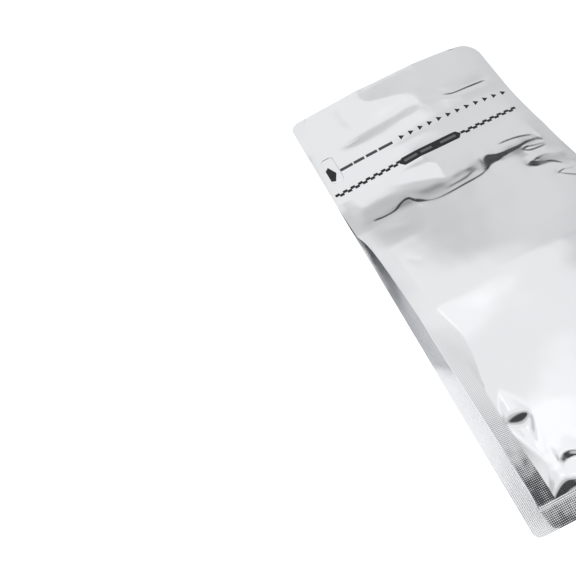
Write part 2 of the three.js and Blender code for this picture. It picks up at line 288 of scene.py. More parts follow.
# %% Rises in the header and near the foot
RISES += [
    # a soft patch at the top edge, and the crease at the right over the tear strip
    {"line": [(-20, 11), (20, 11)], "slope": [(-24, 0), (-12, 0.07), (14, 0.08), (24, 0)],
     "near": [(-20, 9), (20, 9)], "far": 24},
    {"line": [(22, 33), (34, 36), (58, 36)], "slope": [(18, 0), (32, 0.09), (56, 0.09), (64, 0)],
     "near": [(24, 4), (58, 4)], "far": 12},
    {"line": [(23.9, 31.6), (28, 33.3), (34, 35.2), (45, 35.1), (58, 34.6)],
     "slope": [(22, 0), (30, 0.18), (36, 0.2), (56, 0.18), (62, 0)], "near": [(24, 1.4), (58, 1.4)],
     "far": 7},
    # a hooked crease near the foot
    {"line": [(-46, 269.3), (-44, 268.1), (-41.5, 267.2), (-38, 267.8), (-33, 270.4)],
     "slope": [(-46.5, 0), (-45, 0.7), (-43, 0.8), (-37, 0.8), (-33, 0.4), (-30, 0)],
     "near": [(-46, 2), (-41, 2.6), (-33, 2.2)], "far": 12},
]
print("rises:", len(RISES))

# %% How far a rise lifts the film
CLIMB_STEEPEST = 1.25  # the slope of climb in its middle


def climb(share):
    """From -1 to 1, steepest in the middle and level at both ends."""
    share = min(max(share, -1), 1)
    return CLIMB_STEEPEST * share - (CLIMB_STEEPEST - 1) * share ** 5


def rise_lift(rise, x, run):
    """A climb over "near" on both sides of the line, undone by a gentle fall over "far"."""
    past = run - along(rise["line"], x)
    far = rise["far"]
    slope = along(rise["slope"], x)
    if abs(past) > far or slope == 0:
        return 0
    near = along(rise["near"], x)
    steps_up = climb(past / near) - climb(past / far)
    return slope / CLIMB_STEEPEST / (1 / near - 1 / far) * steps_up


print(f"the crest under the zip lifts the film by {rise_lift(RISES[4], 0, 106.5):.2f} mm")

# %% [markdown]
# ## Buckles
# Where a film gives way it buckles: it sinks on one side of a line and rises as much on the other, like
# the leaf-shaped dents near the foot. The slope between the two is what mirrors the dark of the room, so
# each buckle is given by its line, its slope there and its width. The last two are past the photo's
# edge, and repeat on the right what shows on the left.

# %% Buckles and how far they lift the film
BUCKLE_ENDS = 3  # a buckle stops this many widths away
BUCKLES = [
    {"line": [(-45, 37), (-28, 36.3), (-12, 34.6), (9, 33.5)],  # soft wave over the tear strip
     "slope": [(-52, 0), (-42, 0.14), (-28, 0.2), (-12, 0.19), (6, 0.17), (13, 0)],
     "width": [(-45, 6), (-28, 7.4), (9, 6.4)]},
    {"line": [(-57.2, 240.8), (-51.5, 241.7), (-45.5, 241.2)],  # leaf
     "slope": [(-58.2, 0), (-56.4, 0.56), (-54, 0.7), (-51.5, 0.74), (-48.5, 0.76), (-46.4, 0.66),
               (-44.6, 0)],
     "width": [(-57.4, 3), (-51.5, 8.4), (-45.6, 3.4)]},
    {"line": [(-58, 282), (-54, 280.7), (-49, 279.5), (-45, 279.5), (-38, 281)],  # at the foot
     "slope": [(-59, 0), (-57, 0.7), (-50, 0.95), (-44, 0.93), (-38, 0.5), (-34, 0)],
     "width": [(-58, 2.6), (-50, 6), (-40, 5)]},
    {"line": [(30, 281), (42, 279.4), (54, 281)],
     "slope": [(28, 0), (33, 0.6), (44, 0.84), (52, 0.5), (56, 0)],
     "width": [(30, 2.4), (42, 4.4), (54, 2.4)]},
    {"line": [(36, 249), (43, 247.4), (51, 248.6)],
     "slope": [(35, 0), (38, 0.5), (43, 0.65), (48, 0.5), (52, 0)],
     "width": [(36, 2.4), (43, 5), (51, 2.4)]},
]


def buckle_rise(buckle, x, run):
    """How far a buckle lifts the film: up on its foot side, and as far down on the other."""
    width = along(buckle["width"], x)
    past = run - along(buckle["line"], x)
    if abs(past) > BUCKLE_ENDS * width:
        return 0
    return along(buckle["slope"], x) * past * math.exp(-(past / width) ** 2)


print("buckles:", len(BUCKLES))

# %% [markdown]
# ## Grooves, dimples and folds
# The smaller marks of a used bag are of three kinds. Grooves are thin lines, dimples are single dents, and
# folds are long soft waves, of which some have an edge. Each lowers the film by a smooth curve of the
# distance from it, and only reaches a little way, which keeps the thousands of sums fast.

# %% Grooves, dimples and folds
GROOVES = [
    {"places": [(58.2, 91.5), (58.8, 97)], "depth": 0.15, "reach": 0.9},
    {"places": [(-44, 35.8), (-36, 35.6)], "depth": 0.1, "reach": 0.6},
    {"places": [(-52, 108), (-43, 111.5)], "depth": 0.12, "reach": 3.2},
    {"places": [(-52, 133), (-48, 138)], "depth": 0.06, "reach": 2},
    {"places": [(-56, 51.6), (-30, 52.2), (-4, 52.2), (23, 52.4), (45, 52), (54, 52.6), (60, 56.5)],
     "depth": 0.07, "reach": 0.9},
]
DIMPLES = [
    {"at": (-64, 279), "long": 4, "wide": 3, "turn": 30, "depth": 0.7},
    {"at": (-55.2, 218.1), "long": 0.9, "wide": 0.8, "turn": 0, "depth": 0.3},
    {"at": (38, 266), "long": 5, "wide": 3.6, "turn": -40, "depth": -2.6},
]
FOLDS = [
    {"places": [(-20, -4), (-20, 8), (-16.5, 12.5), (-9, 14.7), (-2, 17.2), (4, 20.5), (9, 25), (12, 33)],
     "depth": -0.8, "reach": 8, "sharp": True},
    {"places": [(-36, 6), (-36, 18), (-33, 26)], "depth": 0.3, "reach": 3.6},
    {"places": [(-9, 68), (-4.5, 79), (-5, 91)], "depth": -1.1, "reach": 7, "sharp": True},
    {"places": [(-74, 34), (-74, 70)], "depth": -1, "reach": 5},
    {"places": [(52, 160), (55, 185), (52, 205), (56, 232), (53, 252), (56, 276)],
     "depth": 0.5, "reach": 4, "sharp": True},
]
MARK_ENDS = 3.2  # a mark stops this many reaches away
SHARP_FADE = 0.4  # a sharp fold starts to fade at this share of that
EDGE_ROUND = 0.6  # how round a sharp fold's edge is
print("grooves, dimples and folds:", len(GROOVES), len(DIMPLES), len(FOLDS))


# %% How far they lower the film
def distance_to(places, x, run):
    """Distance from a place to a chain of straight stretches."""
    nearest = 1e9
    for (ax, ay), (bx, by) in zip(places, places[1:]):
        sx, sy = bx - ax, by - ay
        t = ((x - ax) * sx + (run - ay) * sy) / (sx * sx + sy * sy)
        t = min(max(t, 0), 1)
        nearest = min(nearest, math.hypot(x - ax - t * sx, run - ay - t * sy))
    return nearest


def chain_dent(chain, x, run):
    """How far a groove or a fold lowers the film."""
    places, reach = chain["places"], chain["reach"]
    margin = MARK_ENDS * reach
    if not min(p[0] for p in places) - margin < x < max(p[0] for p in places) + margin:
        return 0
    if not min(p[1] for p in places) - margin < run < max(p[1] for p in places) + margin:
        return 0
    away = distance_to(places, x, run) / reach
    if chain.get("sharp"):  # straight flanks that meet in a rounded edge, and end within the margin
        edge = math.exp(-math.hypot(away, EDGE_ROUND / reach))
        return chain["depth"] * edge * (1 - smooth(SHARP_FADE * MARK_ENDS, MARK_ENDS, away))
    return chain["depth"] * math.exp(-away ** 2)


def dimple_dent(dimple, x, run):
    """How far one dimple lowers the film. Its turn is from +X towards the foot, in degrees."""
    dx, dy = x - dimple["at"][0], run - dimple["at"][1]
    if max(abs(dx), abs(dy)) > MARK_ENDS * dimple["long"]:
        return 0
    turn = math.radians(dimple["turn"])
    u = (dx * math.cos(turn) + dy * math.sin(turn)) / dimple["long"]
    v = (dy * math.cos(turn) - dx * math.sin(turn)) / dimple["wide"]
    return dimple["depth"] * math.exp(-u * u - v * v)


print(f"the first dimple is {dimple_dent(DIMPLES[0], *DIMPLES[0]['at']):.1f} mm deep")

# %% [markdown]
# ## Waves of the loose film
# Between its creases a film under little tension is never quite even, and a mirror shows that at once. Two
# sizes of soft noise do it, longer down the bag than across, and still at the fins, where the seals
# hold the film flat. Then everything comes together in one height for the front, and one for the back.

# %% Waves
WAVES = [  # height, length across, length along, and where the noise is read
    (0.35, 26, 40, 3.0),
    (0.10, 9, 14, 11.0),
]
CALM_EDGE = 14  # the waves fade out towards the fins over this distance


def waves(x, run):
    """Soft unevenness of a film under little tension."""
    half = WIDTH / 2
    calm = smooth(0, CALM_EDGE, half - abs(x)) * smooth(0, CALM_EDGE, LENGTH - run)
    rough = sum(height * noise.noise(Vector((x / across, run / down, where)))
                for height, across, down, where in WAVES)
    return calm * rough


# %% Heights of the front and the back
def front_z(x, run):
    """Height of the front film's outer face."""
    z = plain_front(x, run) + waves(x, run)
    z += sum(rise_lift(rise, x, run) for rise in RISES)
    z += sum(buckle_rise(buckle, x, run) for buckle in BUCKLES)
    z -= sum(chain_dent(chain, x, run) for chain in GROOVES + FOLDS)
    z -= sum(dimple_dent(dimple, x, run) for dimple in DIMPLES)
    return z


def back_z(x, run):
    """Height of the back film's outer face: on the floor, but for the top edge and beside the fins."""
    if run < HEADER_RUN:
        return max(front_z(x, run) - STACK, 0) * (1 - smooth(0, HEADER_RUN, run))
    inward = WIDTH / 2 - abs(x)
    outer = along(BACK_OUTER, run) * max(1 - inward / SIDE_FIN, 0)
    inner = along(BACK_INNER, run) * min(inward / SIDE_FIN, 1)
    return max(outer + inner * (1 - smooth(SIDE_FIN, SIDE_FIN + BACK_REACH, inward)), 0)


print(f"front film at the zip {front_z(0, ZIP_RUN):.1f} mm, at the foot {front_z(0, 270):.1f} mm")

# %% [markdown]
# ## Sheets of film
# The real bag is sheets, so it is made as sheets, not as a closed body whose edges would look thick. Each
# starts as a bmesh grid. Its vertices then move to their places, and a Solidify modifier gives it the
# thickness of the film on the inner side, so that the outer face stays exact. Rows lie close together
# where the film has creases and further apart where it is smooth. A UV map keeps the distances along
# the film, for the embossing.

# %% Rows and columns
def steps(*stretches):
    """Places along a line: stretches are (from, to, step), and each starts where the last ended."""
    places = [stretches[0][0]]
    for start, end, step in stretches:
        count = max(1, round((end - start) / step))
        places += [mix(start, end, (i + 1) / count) for i in range(count)]
    return places


print("rows down the header:", len(steps((0, HEADER_RUN, 2))))

# %% The sheet maker
UV_SPAN = 300  # millimetres of film for the whole of the UV map


def sheet(name, columns, rows, at, thickness=FILM, flip=False):
    """A grid whose vertex in a column and a row goes to at(column, row), in millimetres."""
    shape = bmesh.new()
    bmesh.ops.create_grid(shape, x_segments=len(columns) - 1, y_segments=len(rows) - 1, size=1)
    film = shape.loops.layers.uv.new("film")
    flat = {}
    for vert in shape.verts:
        column = columns[round((vert.co.x + 1) / 2 * (len(columns) - 1))]
        row = rows[round((1 - vert.co.y) / 2 * (len(rows) - 1))]
        x, run, z, across = at(column, row)
        flat[vert] = (0.5 + across / UV_SPAN, run / UV_SPAN)
        vert.co = Vector((x, LENGTH / 2 - run, z)) * MM
    for face in shape.faces:
        face.smooth = True
        for loop in face.loops:
            loop[film].uv = flat[loop.vert]
    for edge in shape.edges:
        edge.smooth = not edge.is_boundary
    if flip:
        bmesh.ops.reverse_faces(shape, faces=shape.faces)
    mesh = bpy.data.meshes.new(name)
    shape.to_mesh(mesh)
    shape.free()
    piece = bpy.data.objects.new(name, mesh)
    bpy.context.scene.collection.objects.link(piece)
    wall = piece.modifiers.new("film", "SOLIDIFY")
    wall.thickness = thickness * MM
    wall.offset = -1
    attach(piece, "root")
    return piece


# %% [markdown]
# ## The front and back films
# The front film is the one that shows, so it gets the finest mesh. Between the fins it is one sheet from
# the top edge down to the foot seal. The back film lies on the floor and needs few rows.

# %% Front film
FRONT_ROWS = steps((0, 32, 1.6), (32, 39, 0.5), (39, 86, 1.3), (86, 106, 0.33), (106, 138, 0.5),
                   (138, 236, 2), (236, FOOT_LINE, 0.6))
FRONT_COLUMNS = steps((-1, -0.45, 0.0115), (-0.45, 0.3, 0.021), (0.3, 1, 0.0115))


def on_front(share, run):
    """share goes from -1 at the left fin's inner line to 1 at the right fin's."""
    x = share * (front_half(run, share) - SIDE_FIN)
    return x, run, front_z(x, run), x


front_film = sheet("front_film", FRONT_COLUMNS, FRONT_ROWS, on_front)
print("front film faces:", len(front_film.data.polygons))

# %% Back film
BACK_ROWS = steps((0, RIGHT_CORNER, 1), (RIGHT_CORNER, HEADER_RUN, 2), (HEADER_RUN, FOOT_LINE, 6))
BACK_COLUMNS = steps((-1, 1, 2 / 60))


def on_back(share, run):
    x = share * (back_half(run, share) - SIDE_FIN)
    return x, run, back_z(x, run), x


back_film = sheet("back_film", BACK_COLUMNS, BACK_ROWS, on_back, flip=True)
print("back film faces:", len(back_film.data.polygons))

# %% [markdown]
# ## The sealed fins
# A fin is two films pressed together between heated bars, whose pattern stays in the film. It could be a
# part of the film with a mask for its finish. But each fin is twice as thick as a film, so it is a
# strip of its own here. It starts at the fin's inner line, so that its seam with the front film falls
# where the real one has its crease. The fin across the foot runs over the ends of the side fins.

# %% Side fins
SIDE_ROWS = steps((0, RIGHT_CORNER, 0.5), (RIGHT_CORNER, FOOT_LINE, 0.9))
FIN_COLUMNS = steps((0, 1, 1 / 16))


def side_fin(name, side, front):
    """A fin down one side. Its columns go from 0 at the outer edge to 1 at its inner line."""
    def at(share, run):
        half = front_half(run, side) if front else back_half(run, side)
        x = side * (half - SIDE_FIN * share)
        return x, run, front_z(x, run) if front else back_z(x, run), x

    columns = FIN_COLUMNS if side < 0 else FIN_COLUMNS[::-1]
    return sheet(name, columns, SIDE_ROWS, at, SEAL, flip=not front)


fins = [side_fin("front_left_fin", -1, True), side_fin("front_right_fin", 1, True),
        side_fin("back_left_fin", -1, False), side_fin("back_right_fin", 1, False)]
print("faces of each side fin:", len(fins[0].data.polygons))

# %% Foot fins
FOOT_COLUMNS = steps((-1, 1, 2 / 156))
FOOT_ROWS = steps((FOOT_LINE, LENGTH - BOTTOM_CORNER, 0.8), (LENGTH - BOTTOM_CORNER, LENGTH, 0.4))


def foot_fin(name, front):
    """A fin across the foot, as wide as its film."""
    def at(share, run):
        x = share * (front_half(run, share) if front else back_half(run, share))
        return x, run, front_z(x, run) if front else back_z(x, run), x

    return sheet(name, FOOT_COLUMNS, FOOT_ROWS, at, SEAL, flip=not front)


fins += [foot_fin("front_foot_fin", True), foot_fin("back_foot_fin", False)]
print("fins:", [fin.name for fin in fins])

# %% [markdown]
# ## The folded gussets and the folded bottom
# Each side gusset starts under the front fin, goes in to its fold and comes back out to the back fin. The
# bottom film does the same across the foot. Folding flat sheets with bones or a simulation would leave
# them crossing at the corners, where the real ones meet along a mitre. So all three follow one rule:
# a line at a share of the fold lies that far in from the side and from the foot.

# %% The rule of the folds
FOLD_SHARES = steps((-1, 1, 2 / 36))  # -1 at the front fin, 0 at the fold, 1 at the back fin
FOLD_BULGE = 0.8
FULL_GAP = 10  # the folds bulge less where the fins are closer than this


def fold_z(x, run, share):
    """Height of the folded film on a line: share is -1 under the front fin and 1 on the back fin."""
    top = max(front_z(x, run) - SEAL, SEAL)
    middle = (top + SEAL) / 2
    inward = 1 - abs(share)
    bulge = FOLD_BULGE * math.sin(math.pi * inward) * min((top - SEAL) / FULL_GAP, 1)
    if share < 0:
        return mix(top, middle, inward) - bulge
    return mix(SEAL, middle, inward) + bulge


def fold_x(side, run, share):
    """x of the folded film at a run on a line. side is -1 or 1, or a share of the way between them."""
    inward = 1 - abs(share)
    front, back = front_half(run, side), back_half(run, side)
    edge = mix(front if share < 0 else back, (front + back) / 2, inward)
    return side * (edge - SIDE_FIN - GUSSET_DEPTH * inward)


print(f"the left fold is {-fold_x(-1, FOOT_LINE, 0):.1f} mm from the middle line at the foot")

# %% Gussets
GUSSET_ROWS = steps((0, 1, 1 / 160))


def gusset(name, side):
    """A folded side gusset, from the end of the header to the mitre at the foot."""
    def at(share, down):
        run = mix(HEADER_RUN, FOOT_LINE - FOOT_DEPTH * (1 - abs(share)), down)
        fin_run = mix(HEADER_RUN, FOOT_LINE, down)
        fin_x = side * (front_half(fin_run, side) - SIDE_FIN)
        return fold_x(side, run, share), run, fold_z(fin_x, fin_run, share), GUSSET_DEPTH * share

    return sheet(name, FOLD_SHARES, GUSSET_ROWS, at, flip=side > 0)


left_gusset = gusset("left_gusset", -1)
right_gusset = gusset("right_gusset", 1)
print("gusset faces:", len(left_gusset.data.polygons))

# %% Bottom film
BOTTOM_COLUMNS = steps((-1, 1, 2 / 120))


def on_bottom(share, column):
    """The folded bottom film, whose ends meet the gussets."""
    x = fold_x(column, FOOT_LINE, share)
    run = FOOT_LINE - FOOT_DEPTH * (1 - abs(share))
    fin_x = column * (front_half(FOOT_LINE, column) - SIDE_FIN)
    return x, run, fold_z(fin_x, FOOT_LINE, share), x


bottom_film = sheet("bottom_film", FOLD_SHARES, BOTTOM_COLUMNS, on_bottom)
print("bottom film faces:", len(bottom_film.data.polygons))

# %% [markdown]
# ## The print
# The bag's print is plain: four bars and a row of arrows along the tear strip, a two-row line of marks
# over the zip, and a dark lozenge with three light bars in its middle. It could be a pattern in the
# foil's material. But a thin patch that follows the film a hair over it has crisp edges at any
# distance, and its ink stays dull where the foil shines.

# %% Patches that follow the film
INK_LIFT = 0.05
INK_CELL = 1.2  # the patches are cut into cells of about this size, to follow the creases


def new_piece(name, shape):
    """Lays a bmesh in millimetres on the front film. Its z is the height over the film."""
    for vert in shape.verts:
        x, y, lift = vert.co
        run = LENGTH / 2 - y
        vert.co = Vector((x, y, front_z(x, run) + lift)) * MM
    mesh = bpy.data.meshes.new(name)
    shape.to_mesh(mesh)
    shape.free()
    piece = bpy.data.objects.new(name, mesh)
    bpy.context.scene.collection.objects.link(piece)
    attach(piece, "root")
    return piece


def add_bar(shape, x, run, wide, tall, lift=INK_LIFT, taper=0.0):
    """A bar of ink. taper draws its ends to a point over that length."""
    cells = max(1, round(wide / INK_CELL))
    rows = max(1, round(tall / INK_CELL))
    made = bmesh.ops.create_grid(shape, x_segments=cells, y_segments=rows, size=0.5)
    for vert in made["verts"]:
        u, v = vert.co.x, vert.co.y
        from_end = (0.5 - abs(u)) * wide
        height = tall * (min(from_end / taper, 1) if taper else 1)
        vert.co = Vector((x + u * wide, LENGTH / 2 - run + v * height, lift))


# %% Arrows of the tear strip
ARROW_FIRST = -11.7
ARROW_STEP = 6.82
ARROW_COUNT = 12
ARROW_RUN = 49.2
ARROW_SIZE = 2.2
TO_THE_RIGHT = Matrix.Rotation(math.radians(-90), 3, "Z")

arrows = bmesh.new()
for i in range(ARROW_COUNT):
    middle = Vector((ARROW_FIRST + i * ARROW_STEP, LENGTH / 2 - ARROW_RUN, INK_LIFT))
    arrow = bmesh.ops.create_circle(arrows, cap_ends=True, segments=3, radius=ARROW_SIZE)
    for vert in arrow["verts"]:
        vert.co = TO_THE_RIGHT @ vert.co + middle
print("arrows:", len(arrows.faces))
tear_arrows = new_piece("tear_arrows", arrows)

# %% Bars of the tear strip
BARS = [(-51.8, 9), (-42.7, 7.6), (-33.6, 8), (-23.4, 10)]  # middle and length of each
BAR_RUN = 49.9
BAR_TALL = 2.1

bars = bmesh.new()
for x, wide in BARS:
    add_bar(bars, x, BAR_RUN, wide, BAR_TALL)
print("faces of the bars:", len(bars.faces))
tear_bars = new_piece("tear_bars", bars)

# %% Marks over the zip
MARK_WIDE = 3.1
MARK_TALL = 1.9
MARK_SHIFT = 0.6  # the two rows lie this far over and under their line
HALF_STEP = 5.45 / 2  # from a mark in one row to the next mark in the other
MARKS_LEFT = (-67.4, -21, 66, 66.1)  # x from and to, and the line's run at both ends
MARKS_RIGHT = (21.6, 65.1, 67.3, 65.2)

marks = bmesh.new()
for start, end, first_run, last_run in (MARKS_LEFT, MARKS_RIGHT):
    count = int((end - start) / HALF_STEP)
    for i in range(count):
        run = mix(first_run, last_run, i / count) + MARK_SHIFT * (1 if i % 2 else -1)
        add_bar(marks, start + (i + 0.5) * HALF_STEP, run, MARK_WIDE, MARK_TALL)
print("faces of the marks:", len(marks.faces))
zip_marks = new_piece("zip_marks", marks)

# %% Lozenge over the zip, with its light bars
LOZENGE_RUN = 66.9
LIGHT_BARS = [(-14.5, 9), (-3.5, 8), (12, 11)]  # middle and length of each
LIGHT_BAR_TALL = 1.9

lozenge = bmesh.new()
add_bar(lozenge, x=-0.6, run=LOZENGE_RUN, wide=43.8, tall=6.2, taper=2.6)
zip_lozenge = new_piece("zip_lozenge", lozenge)

light_bars = bmesh.new()
for x, wide in LIGHT_BARS:
    add_bar(light_bars, x, LOZENGE_RUN, wide, LIGHT_BAR_TALL, lift=2 * INK_LIFT)
zip_bars = new_piece("zip_bars", light_bars)
print("faces of the lozenge:", len(zip_lozenge.data.polygons))

# %% [markdown]
# ## The pull tab
# The tab at the end of the tear strip is a flap, die-cut from the front film and lifted a little. Cutting
# it out of the sheet would tear its smooth shading, so it is a small sheet of its own a hair over the
# film, and replaces the CAD plate. A dark patch with five corners is printed on it.

# %% Pull tab
TAB = {"left": -65, "right": -56.5, "top": 37, "bottom": 57, "corner": 2.4, "gap": 0.08}

tab = bmesh.new()
tab_wide = TAB["right"] - TAB["left"]
tab_tall = TAB["bottom"] - TAB["top"]
bmesh.ops.create_grid(tab, x_segments=14, y_segments=30, size=0.5)
for vert in tab.verts:
    u, v = vert.co.x, vert.co.y
    past = min(max(abs(v) * tab_tall - (tab_tall / 2 - TAB["corner"]), 0), TAB["corner"])
    cut = TAB["corner"] - math.sqrt(TAB["corner"] ** 2 - past ** 2)
    x = (TAB["left"] + TAB["right"]) / 2 + u * (tab_wide - 2 * cut)
    run = (TAB["top"] + TAB["bottom"]) / 2 - v * tab_tall
    vert.co = Vector((x, LENGTH / 2 - run, TAB["gap"] + FILM))
for face in tab.faces:
    face.smooth = True
pull_tab = new_piece("pull_tab_film", tab)
tab_wall = pull_tab.modifiers.new("film", "SOLIDIFY")
tab_wall.thickness = FILM * MM
tab_wall.offset = -1
print("tab faces:", len(pull_tab.data.polygons))

# %% The patch on the tab
PATCH = [(-62.4, 43.6), (-64.9, 45.6), (-64.9, 54.4), (-62.2, 55.6), (-59.3, 50.2)]  # x and run

label = bmesh.new()
label.faces.new([label.verts.new((x, LENGTH / 2 - run, TAB["gap"] + FILM + INK_LIFT)) for x, run in PATCH])
tab_label = new_piece("tab_label", label)
print("corners of the patch:", len(PATCH))

# %% [markdown]
# ## Shader maths as Python
# Materials and the sky are node trees. This small class wraps a socket, so that an expression such as
# 1 - mask adds the Math nodes that it stands for, and one method makes any other node.


# %% The shader class
class Shade:
    """A shader socket that Python's operators work on."""

    def __init__(self, tree, socket=None):
        self.tree = tree
        self.socket = socket

    def node(self, kind, settings=None, sockets=None, output=0):
        """Makes a node, gives it its settings and its sockets' values or links, and wraps an output."""
        made = self.tree.nodes.new(kind)
        for name, value in (settings or {}).items():
            setattr(made, name, value)
        for name, value in (sockets or {}).items():
            if isinstance(value, Shade):
                self.tree.links.new(value.socket, made.inputs[name])
            else:
                made.inputs[name].default_value = value
        return Shade(self.tree, made.outputs[output] if made.outputs else None)

    def math(self, operation, *others):
        """A Math node of this socket and the others."""
        return self.node("ShaderNodeMath", {"operation": operation}, dict(enumerate((self, *others))))

    def __add__(self, other):
        return self.math("ADD", other)

    __radd__ = __add__

    def __sub__(self, other):
        return self.math("SUBTRACT", other)

    def __rsub__(self, other):
        return self.math("MULTIPLY_ADD", -1.0, other)

    def __mul__(self, other):
        return self.math("MULTIPLY", other)

    __rmul__ = __mul__

    def step(self, start, end, low=0.0, high=1.0):
        """low below start, high above end, and a soft step between."""
        return self.node("ShaderNodeMapRange", {"interpolation_type": "SMOOTHSTEP"},
                         {0: self, 1: start, 2: end, 3: low, 4: high})

    def dot(self, vector):
        return self.node("ShaderNodeVectorMath", {"operation": "DOT_PRODUCT"},
                         {0: self, 1: vector}, output="Value")


def new_tree(kind, name):
    """A new material or world with an empty node tree, and a Shade to start from."""
    made = kind.new(name)
    made.use_nodes = True
    made.node_tree.nodes.clear()
    return made, Shade(made.node_tree)


print("shader expressions can use", ", ".join(name for name in vars(Shade) if not name.startswith("_")))

# %% [markdown]
# ## Foil
# Metallised film is a metal with a smooth clear face: Metallic is 1 and the roughness is low, with a little
# noise in both the roughness and the surface. The fins have the sealing bars' pattern of small dots on
# diagonal lines. Thousands of real dots would be a heavy mesh, so a bump on the film's own distances
# makes them. Near the foot the dots are deep, and most of their pits mirror the dark of the room. A
# bump can't mirror it evenly at this size, so those pits are dark in the colour as well.

# %% The dots of the sealing bars
EMBOSS_RUN = (180, 272)  # the dots' height changes over this run
EMBOSS_PITCH = 1.3


def sealed_dots(start):
    """Dots on diagonal lines, from -1 to 1, and the run, both on the film's own distances."""
    film = start.node("ShaderNodeUVMap", {"uv_map": "film"})
    turn = 2 * math.pi * UV_SPAN / EMBOSS_PITCH / math.sqrt(2)
    dots = film.dot((turn, turn, 0)).math("SINE") * film.dot((turn, -turn, 0)).math("SINE")
    return dots, film.dot((0, UV_SPAN, 0))


print(f"rows of dots on a side fin: {SIDE_FIN / EMBOSS_PITCH * math.sqrt(2):.0f}")

# %% Dark pits: a painted reflection of the room's dark
FOIL = (0.86, 0.865, 0.875, 1)
# a painted reflection: the dark of the room, put into the colour of the pits near the foot
PIT_REFLECTION_COLOUR = (0.05, 0.05, 0.055, 1)
PIT_SHARE = 0.95  # how much of the dark colour a pit gets
PITS_RUN = (240, 282)
PITS_COVER = (-0.2, 1.15)  # from nowhere to nearly everywhere
FOLD_LINE_RUN = (FOOT_LINE - 0.5, FOOT_LINE)
FOLD_LINE_COVER = 0.9  # less along the foot's crease
FOOT_SEAL_RUN = (FOOT_LINE + 1.5, FOOT_LINE + 3)
FOOT_SEAL_COVER = 0.55  # and more again on the foot seal


def painted_pit_reflection(start, place, dots, run):
    """The foil's colour, with a painted reflection of the room's dark in the pits of the dots near the
    foot, in patches.
    """
    patches = start.node("ShaderNodeTexNoise", {}, {"Vector": place, "Scale": 160.0, "Detail": 3.0})
    cover = run.step(*PITS_RUN, *PITS_COVER) - run.step(*FOLD_LINE_RUN, 0, FOLD_LINE_COVER)
    cover = cover + run.step(*FOOT_SEAL_RUN, 0, FOOT_SEAL_COVER)
    pit = (dots * 0.6 + patches * 1.4 - cover).step(-0.2, 0.2, PIT_SHARE, 0)
    return start.node("ShaderNodeMix", {"data_type": "RGBA"},
                      {"Factor": pit, 6: FOIL, 7: PIT_REFLECTION_COLOUR}, output=2)


print("the pits darken from run", PITS_RUN[0])

# %% Foil materials
RIPPLE = 0.012  # height of the finest unevenness


def foil(name, rough=(0.09, 0.15), emboss=(), pits=False):
    """A foil material. emboss is the dots' height in millimetres at both ends of EMBOSS_RUN."""
    material, start = new_tree(bpy.data.materials, name)
    place = start.node("ShaderNodeTexCoord", output="Object")
    cloud = start.node("ShaderNodeTexNoise", {}, {"Vector": place, "Scale": 60.0, "Detail": 2.0})
    ripples = start.node("ShaderNodeTexNoise", {}, {"Vector": place, "Scale": 260.0, "Detail": 1.0})
    height = ripples * RIPPLE
    colour = FOIL
    if emboss:
        dots, run = sealed_dots(start)
        height = height + dots * run.step(*EMBOSS_RUN, *emboss)
        colour = painted_pit_reflection(start, place, dots, run) if pits else FOIL
    bump = start.node("ShaderNodeBump", {}, {"Height": height, "Distance": MM, "Strength": 1.0})
    surface = start.node("ShaderNodeBsdfPrincipled", {}, {
        "Base Color": colour, "Metallic": 1.0,
        "Roughness": cloud.step(0.3, 0.7, *rough), "Normal": bump})
    start.node("ShaderNodeOutputMaterial", {}, {"Surface": surface})
    return material


smooth_foil = foil("foil")
# the front fins' pits near the foot get a painted reflection of the room's dark in their colour
front_emboss = foil("front_emboss", emboss=(0.01, 0.22), pits=True)
back_emboss = foil("back_emboss", rough=(0.2, 0.28), emboss=(0.01, 0.06))
tab_foil = foil("tab_foil", rough=(0.15, 0.2))
print("nodes of the front fins' foil:", len(front_emboss.node_tree.nodes))

# %% [markdown]
# ## Ink
# The ink is much duller than the foil round it, so it is a plain dark surface with a weak mirror, not a
# metal. The bars on the tear strip are a little greyer than the marks, and those on the lozenge are
# lighter still.

# %% Ink materials
INK_ROUGH = (0.3, 0.4)


def ink(name, colour):
    """A dull ink whose roughness changes a little over the print."""
    material, start = new_tree(bpy.data.materials, name)
    place = start.node("ShaderNodeTexCoord", output="Object")
    cloud = start.node("ShaderNodeTexNoise", {}, {"Vector": place, "Scale": 900.0})
    surface = start.node("ShaderNodeBsdfPrincipled", {}, {
        "Base Color": colour, "Specular IOR Level": 0.25,
        "Roughness": cloud.step(0.3, 0.7, *INK_ROUGH)})
    start.node("ShaderNodeOutputMaterial", {}, {"Surface": surface})
    return material


dark_ink = ink("dark_ink", (0.02, 0.02, 0.022, 1))
grey_ink = ink("grey_ink", (0.07, 0.07, 0.074, 1))
light_ink = ink("light_ink", (0.14, 0.14, 0.145, 1))
print("materials:", len(bpy.data.materials))

# %% [markdown]
# ## A finish for every piece
# Each piece gets its material. The front film takes the place of the bag's solid, and the tab's film
# the place of the tab's plate.


# %% Finish every piece
def finish_with(material, slot, *pieces):
    for piece in pieces:
        piece.data.materials.append(material)


finish_with(smooth_foil, "foil_film", front_film, back_film, left_gusset, right_gusset, bottom_film)
for fin in fins:
    finish_with(front_emboss if fin.name.startswith("front") else back_emboss, "foil_film", fin)
finish_with(tab_foil, "tab_film", pull_tab)
finish_with(dark_ink, "foil_film", tear_arrows, zip_marks, zip_lozenge)
finish_with(grey_ink, "foil_film", tear_bars)
finish_with(light_ink, "foil_film", zip_bars)
finish_with(dark_ink, "tab_film", tab_label)
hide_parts("bag")
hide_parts("pull_tab")
print("pieces with the smooth foil:", smooth_foil.users)

# %% [markdown]
# ## The camera
# The camera stands about where the photo's did, over the bag's left side, and rolled so that the bag runs
# down the picture's right half. Its place, aim and roll fit the bag's straight edges and its two printed
# rows, for a lens that was picked: other lenses, with other places, fit them about as well.

